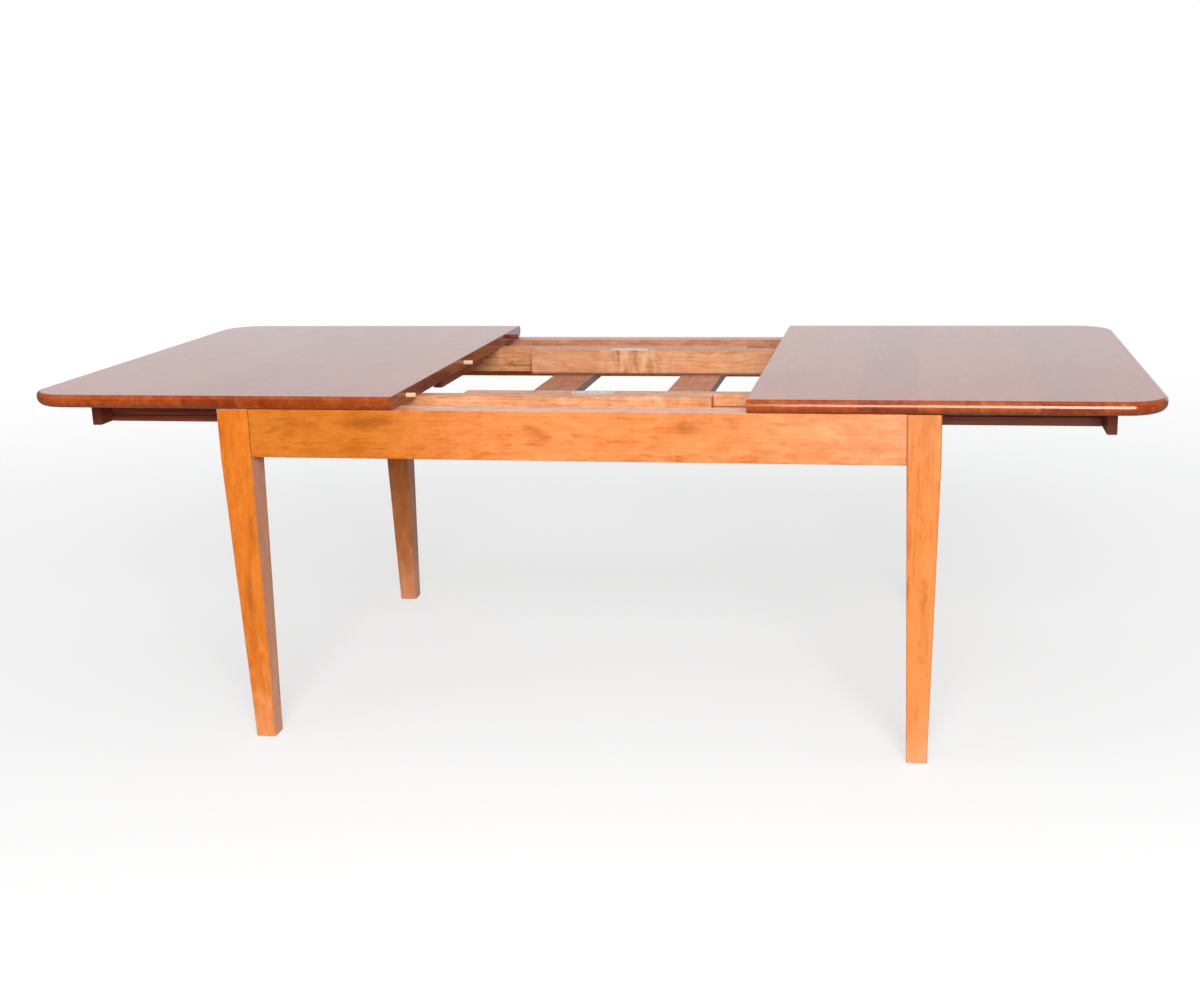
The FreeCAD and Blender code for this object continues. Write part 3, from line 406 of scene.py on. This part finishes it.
def make_wood(name, grain, tones, seed, board=None, figure=1.0, rings=0.12, streaks=0.30, flame=None,
              drift=None, far=None, stain=0.5, patches=(), pores=1.0, end_dark=0.45, worn_and_lit_foot=None,
              shaded_edge=None, dark_beyond=None, meeting_face=None, joint=None, gloss=0.3, shine=0.5,
              end_shine=None, haze=0.0, bump=0.2):
    """A wood with its grain along an axis, in tones as TOP_TONES has them. The seed gives the piece
    its own stretch of wood.

    board: width of the boards that it is glued up from
    figure: how lively the grain is. rings and streaks: the share of growth rings and long streaks
    flame: where its figure curls, as the middle along the grain and the reach
    drift: where along the grain its tone is right, and the change per metre from there
    far: other tones, and where along the grain it begins and ends turning to them
    stain: how much smudges show. patches: x, z and reach along each, where they gather
    pores: how open the pores are. end_dark: how much darker the end grain is
    worn_and_lit_foot: height up to which the foot is paler: scuffed finish, and painted light where shade
    falls above it
    shaded_edge: height of a lower edge that gets a dark line of painted shade
    dark_beyond: axis, side and distance, from where on it is painted dark in the battens' tones
    meeting_face: distance of the darkened face that meets the other half top from the table's middle plane
    joint: distance of a dark joint line from that plane, and its reach to either side
    gloss: roughness. shine, end_shine: specular level, and that of the end grain
    haze: how dusty the finish looks. bump: how strongly the grain is felt
    """
    wood = Wood(name, grain, tones, seed)
    if board:
        wood.glue_up(board)
    wood.grow(figure, rings, streaks, flame, drift, far)
    wood.smudge(stain, patches)
    wood.open_pores(pores)
    wood.darken_ends(end_dark)
    wood.rub_edges()
    if worn_and_lit_foot:
        wood.pale_foot(worn_and_lit_foot)
    if shaded_edge:
        wood.shade_lower_edge(shaded_edge)
    if dark_beyond:
        shine = wood.span(wood.darken_beyond(*dark_beyond), 0.0, 1.0, shine, DARK_SHINE)
    if meeting_face:
        wood.darken_meeting_face(meeting_face)
    if board:
        wood.dirty(wood.seam, SEAM_DIRT)
    if joint:
        wood.dirty_joint(*joint)
    if end_shine is not None:
        shine = wood.span(wood.end_face, 0.0, 1.0, shine, end_shine)
    return wood.finish(Base_Color=wood.colour, Roughness=wood.roughness(gloss, pores, end_dark),
                       Normal=wood.relief(pores, bump), IOR=1.5, Specular_IOR_Level=shine,
                       Sheen_Weight=haze, Sheen_Roughness=HAZE_SPREAD)


# ---------------------------------------------------------------- steel

ZINC = ((0.36, 0.36, 0.38), (0.56, 0.56, 0.57))
BLACKENED = ((0.05, 0.045, 0.05), (0.12, 0.11, 0.12))
RUST, RUST_SHARE = (0.16, 0.12, 0.09), 0.6
SPECK = (0.62, 0.72)                    # where the specks' noise turns to rust
BRUSHED_WAVES, CLOUD_WAVES, SPECK_WAVES = 900.0, 140.0, 420.0       # per metre
BRUSHED_RELIEF, BRUSHED_DEPTH = 0.2, 0.0002     # strength, and metres
STEEL_ROUGH = 0.34
ROUGH_BRUSHED, ROUGH_CLOUD, ROUGH_SPECK = 0.2, 0.25, 0.2


def make_steel(name, dull, bright):
    """Plated steel: brushed, with dull clouds and dark specks."""
    g = Graph(name)
    place = g.node("TexCoord", out="Object")
    brushed = g.noise(place, detail=4.0, scale=BRUSHED_WAVES)
    cloud = g.noise(place, detail=3.0, scale=CLOUD_WAVES)
    speck = g.span(g.noise(place, detail=2.0, scale=SPECK_WAVES), *SPECK)
    colour = g.mix(g.math("MULTIPLY", speck, RUST_SHARE), g.mix(cloud, dull, bright), RUST)
    rough = g.scaled_sum(STEEL_ROUGH, (cloud, ROUGH_CLOUD), (brushed, ROUGH_BRUSHED), (speck, ROUGH_SPECK))
    relief = g.node("Bump", Strength=BRUSHED_RELIEF, Distance=BRUSHED_DEPTH, Height=brushed)
    return g.finish(Base_Color=colour, Metallic=1.0, Roughness=rough, Normal=relief)


# ---------------------------------------------------------------- materials of the CAD nodes

LACQUER = dict(gloss=0.34, shine=0.3, haze=0.12)

TOP_BOARD = 0.1145                      # width of a board
LEG_JOINT = (0.6665, 0.0025)            # where an apron meets its leg, and the line's reach beside it
APRON_TURN = (-0.45, -0.05)             # from amber at the left to salmon: partly the wood's own tone, partly painted shade that darkens the left end
BACK_DOWEL = (1, 1, 0.3)                # beyond this Y, a dowel is painted dark
RUNNER_SHADE_START = 0.72                     # from the table's middle: beyond it the runners are painted dark, as painted shade under the half tops
# Where brown smudges show: x, z and their reach along each.
APRON_PATCHES = ((-0.415, 0.700, 0.110, 0.035), (-0.57, 0.685, 0.110, 0.040), (-0.48, 0.645, 0.110, 0.030),
                 (-0.075, 0.675, 0.075, 0.050), (0.235, 0.690, 0.050, 0.025))
# Each leg's tones, haze and smudges. The back left leg's shaded tones are painted shade, and the front left
# leg's amber ones partly painted shade.
LEGS = {
    "front_left": (AMBER_TONES, 0.55, ((-0.683, 0.47, 0.012, 0.05), (-0.700, 0.33, 0.020, 0.07))),
    "front_right": (HONEY_TONES, 0.02, ((0.674, 0.37, 0.008, 0.04),)),
    "back_left": (SHADED_TONES, 0.30, ((-0.70, 0.52, 0.03, 0.08),)),
    "back_right": (HONEY_TONES, 0.02, ()),
}


def paint(material, *names):
    """Gives nodes a material as their only one."""
    for name in names:
        piece = nodes[name]
        piece.data.materials.clear()
        piece.data.materials.append(material)


def scaled(tones, times):
    """Tones made lighter or darker, up to white."""
    return tuple(tuple(min(1.0, c * times) for c in tone) for tone in tones)


def dress_tops():
    look = dict(board=TOP_BOARD, figure=0.55, rings=0.08, stain=0.4, pores=0.1, end_dark=0.1,
                meeting_face=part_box("right_half_top")[0][0], gloss=0.17, bump=0.015)
    paint(make_wood("top_wood_left", "Y", TOP_TONES, 1, end_shine=0.15, **look), "left_half_top")
    paint(make_wood("top_wood_right", "Y", TOP_TONES, 2, **look), "right_half_top")


def dress_legs():
    for seed, corner in enumerate(CORNERS, 3):
        tones, haze, patches = LEGS[corner]
        # On the back left leg the taller pale foot is painted light, where light reaches below the shade of
        # the half top; on the front left leg it is scuffed finish.
        if corner.endswith("left"):
            look = dict(shine=0.3, worn_and_lit_foot=0.22)
        else:
            # Painted shade: the right legs are made darker towards the top, against the key's stronger
            # light there.
            look = dict(shine=0.15, worn_and_lit_foot=0.13, drift=(0.42, -1.0))
        wood = make_wood("leg_wood_" + corner, "Z", tones, seed, figure=0.7, stain=0.6, patches=patches,
                         gloss=0.34, haze=haze, **look)
        paint(wood, "leg_" + corner)


def dress_frame():
    for n, row in enumerate(ROWS):
        wood = make_wood("apron_wood_" + row, "X", scaled(AMBER_TONES, 0.80), 8 + n, figure=1.25,
                         streaks=0.6, stain=0.62, patches=APRON_PATCHES, drift=(0, -0.35),
                         far=(SALMON_TONES, *APRON_TURN), joint=LEG_JOINT, **LACQUER)
        paint(wood, "apron_" + row)
        # Painted light and shade: the front rail in lighter runner tones, the back one in darker tones for
        # the shade it stands in.
        tones = scaled(RUNNER_TONES, 1.2) if row == "front" else SHADED_RAIL_TONES
        paint(make_wood("rail_wood_" + row, "X", tones, 12 + n, gloss=0.4), "side_rail_" + row)
    for n, end in enumerate(ENDS):
        paint(make_wood("end_apron_wood_" + end, "Y", AMBER_TONES, 14 + n, **LACQUER), "end_apron_" + end)
        tones = scaled(BOARD_TONES, 1.0 + 0.28 * n)
        paint(make_wood("cross_board_wood_" + end, "Y", tones, 17 + n, gloss=0.2), "cross_board_" + end)


def dress_runners():
    """The right half's runners are the inner ones, with a line of painted shade along their lower edges
    above the boards in view.
    """
    looks = {
        # Painted shade: the runners' ends under the half tops are painted dark in the battens' tones.
        "left": dict(streaks=0.9, flame=(0.15, 0.10), dark_beyond=(0, -1, RUNNER_SHADE_START)),
        "right": dict(streaks=0.3, flame=(-0.02, 0.13), dark_beyond=(0, 1, RUNNER_SHADE_START),
                      # Painted shade: a dark line along the right runners' lower edges.
                      shaded_edge=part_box("right_runner_back")[0][2]),
    }
    for seed, (end, row) in enumerate(((end, row) for end in ENDS for row in ROWS), 20):
        # Painted light and shade: the front runners are made lighter and the back ones darker.
        tones = scaled(RUNNER_TONES, 1.14 if row == "front" else 0.95)
        wood = make_wood(f"runner_wood_{end}_{row}", "X", tones, seed, figure=0.8, stain=0.3,
                         gloss=0.48, shine=0.3, **looks[end])
        paint(wood, f"{end}_runner_{row}")
    for n, end in enumerate(ENDS):
        # The battens' dark tones are partly painted shade under the half tops.
        paint(make_wood("batten_wood_" + end, "Y", BATTEN_TONES, 25 + n, gloss=0.45, shine=0.05),
              end + "_outer_batten", end + "_inner_batten")


def dress_small_pieces():
    blocks = make_wood("block_wood", "X", RUNNER_TONES, 28, gloss=0.5)
    paint(blocks, *["runner_guide_" + c for c in CORNERS], *["corner_block_" + c for c in CORNERS])
    # The back dowel is painted darker.
    paint(make_wood("dowel_wood", "X", DOWEL_TONES, 30, figure=0.6, gloss=0.5, dark_beyond=BACK_DOWEL),
          "locating_dowels")
    paint(make_wood("pin_wood", "Z", DOWEL_TONES, 31, figure=0.6, gloss=0.5), "stop_pins")
    plated = [name for name in nodes if name.endswith("_screws") or name.startswith("runner_plate")]
    paint(make_steel("zinc_steel", *ZINC), "corner_bolts", "corner_washers", "corner_nuts", *plated)
    paint(make_steel("dark_steel", *BLACKENED), "plate_screws")


# ---------------------------------------------------------------- floor

FLOOR_REACH = 5.5       # where the floor ends
FLOOR_FADED = 0.98      # share of its reach at which it has faded into the white surroundings
FLOOR_NEAR = 1.0        # how far out it hasn't begun to fade
FLOOR_VEIL = 0.55       # share of the white surroundings that shows through it even there
FLOOR_SIDES = 64
FLOOR_DROP = 0.0005     # below the feet
FLOOR_DARK, FLOOR_LIGHT = (0.94, 0.94, 0.94), (0.97, 0.97, 0.97)
FLOOR_WAVES = 0.8       # from dark to light, per metre
FLOOR_BOUNCE = (0.30, 0.30, 0.30)       # how much light it throws back up under the table
FLOOR_DIMMED = 0.6      # how much of that dimming glossy surfaces see in it


def make_floor():
    """A pale floor that fades out into the white surroundings, so that no horizon shows."""
    turns = [math.tau * step / FLOOR_SIDES for step in range(FLOOR_SIDES)]
    rim = [(FLOOR_REACH * math.cos(turn), FLOOR_REACH * math.sin(turn), 0) for turn in turns]
    mesh = bpy.data.meshes.new("floor")
    mesh.from_pydata(rim, [], [tuple(range(FLOOR_SIDES))])
    floor = bpy.data.objects.new("floor", mesh)
    floor.location.z = -FLOOR_DROP
    bpy.context.scene.collection.objects.link(floor)

    g = Graph("pale_floor")
    place = g.node("TexCoord", out="Object")
    seen = g.mix(g.noise(place, detail=2.0, scale=FLOOR_WAVES), FLOOR_DARK, FLOOR_LIGHT)
    dimmed = g.math("MULTIPLY_ADD", g.node("LightPath", out="Is Glossy Ray"), FLOOR_DIMMED,
                    g.node("LightPath", out="Is Diffuse Ray"), clamp=True)
    matt = g.node("BsdfDiffuse", Color=g.mix(dimmed, seen, FLOOR_BOUNCE))
    length = g.node("VectorMath", out="Value", settings={"operation": "LENGTH"})
    g.put(length.node.inputs[0], place)
    fade = g.tree.nodes.new("ShaderNodeMixShader")
    share = g.span(length, FLOOR_NEAR, FLOOR_REACH * FLOOR_FADED, FLOOR_VEIL, 1.0)
    for socket, value in zip(fade.inputs, (share, matt, g.node("BsdfTransparent"))):
        g.put(socket, value)
    g.tree.links.new(fade.outputs[0], g.output.inputs["Surface"])
    mesh.materials.append(g.material)


# ---------------------------------------------------------------- light

WHITE, COOL, WARM = (1, 1, 1), (1.015, 1.085, 1.12), (1.0, 0.86, 0.68)
AMBIENT_LOW, AMBIENT_HIGH = 0.16, 0.50      # what the surroundings add from the horizon and from above
AMBIENT_TOP = 0.9                       # the height of a direction at which they add the most
# The key at the front right, a weaker fill at the left, the wall behind that the tops mirror, and low
# ones at the front for the gleam along the right half top's edge.
SOFTBOXES = {
    "key": dict(at=(1.1, -5.0, 2.6), towards=(0.2, -0.3, 0.6), size=(2.9, 2.35), radiance=14.5,
                sheen=False),
    "fill": dict(at=(-3.6, -4.2, 2.0), towards=(-0.2, 0, 0.5), size=(3.0, 2.4), radiance=1.2),
    "wall": dict(at=(0.3, 4.4, 1.4), towards=(0.3, 0, 1.1), size=(9.5, 2.8), radiance=0.80,
                 colour=COOL),
    "low_strip": dict(at=(1.8, -3.4, 0.25), towards=(1.2, -0.5, 0.7), size=(1.5, 0.8), radiance=26.0,
                      colour=WARM, matt=False),
    "low_glow": dict(at=(0.6, -3.4, 0.25), towards=(0.6, -0.5, 0.7), size=(0.9, 0.6), radiance=16.0,
                     colour=WARM, matt=False),
}


def make_softbox(name, at, towards, size, radiance, colour=WHITE, matt=True, sheen=True):
    """A large area light that the camera doesn't see. matt says whether it lights matt surfaces,
    sheen whether glossy ones mirror it."""
    data = bpy.data.lights.new(name, "AREA")
    data.color = colour
    data.shape, data.size, data.size_y = "RECTANGLE", *size
    data.energy = radiance * math.pi * size[0] * size[1]
    light = bpy.data.objects.new(name, data)
    light.location = at
    light.rotation_mode = "QUATERNION"
    light.rotation_quaternion = (Vector(towards) - Vector(at)).to_track_quat("-Z", "Y")
    light.visible_camera = False
    light.visible_diffuse, light.visible_glossy = matt, sheen
    bpy.context.scene.collection.objects.link(light)


def make_surroundings():
    """White to the camera. They light the table only a little, and more from above."""
    world = bpy.data.worlds.new("pale_studio")
    world.use_nodes = True
    bpy.context.scene.world = world
    tree = world.node_tree
    background = tree.nodes["Background"]
    background.inputs["Strength"].default_value = 1.0
    place = tree.nodes.new("ShaderNodeTexCoord")
    direction = tree.nodes.new("ShaderNodeSeparateXYZ")
    tree.links.new(place.outputs["Generated"], direction.inputs[0])
    height = tree.nodes.new("ShaderNodeMapRange")
    tree.links.new(direction.outputs["Z"], height.inputs["Value"])
    height.inputs["From Max"].default_value = AMBIENT_TOP
    height.inputs["To Min"].default_value = AMBIENT_LOW
    height.inputs["To Max"].default_value = AMBIENT_HIGH
    ray = tree.nodes.new("ShaderNodeLightPath")
    mix = tree.nodes.new("ShaderNodeMix")
    mix.data_type = "RGBA"
    tree.links.new(ray.outputs["Is Camera Ray"], mix.inputs[MIX_FACTOR])
    tree.links.new(height.outputs[0], mix.inputs[MIX_A])
    mix.inputs[MIX_B].default_value = (*WHITE, 1)
    tree.links.new(mix.outputs[MIX_RESULT], background.inputs["Color"])


make_camera()
dress_tops()
dress_legs()
dress_frame()
dress_runners()
dress_small_pieces()
make_floor()
make_surroundings()
for box_name, box in SOFTBOXES.items():
    make_softbox(box_name, **box)
bpy.context.scene.view_settings.view_transform = "Standard"
bpy.context.scene.view_settings.look = "None"
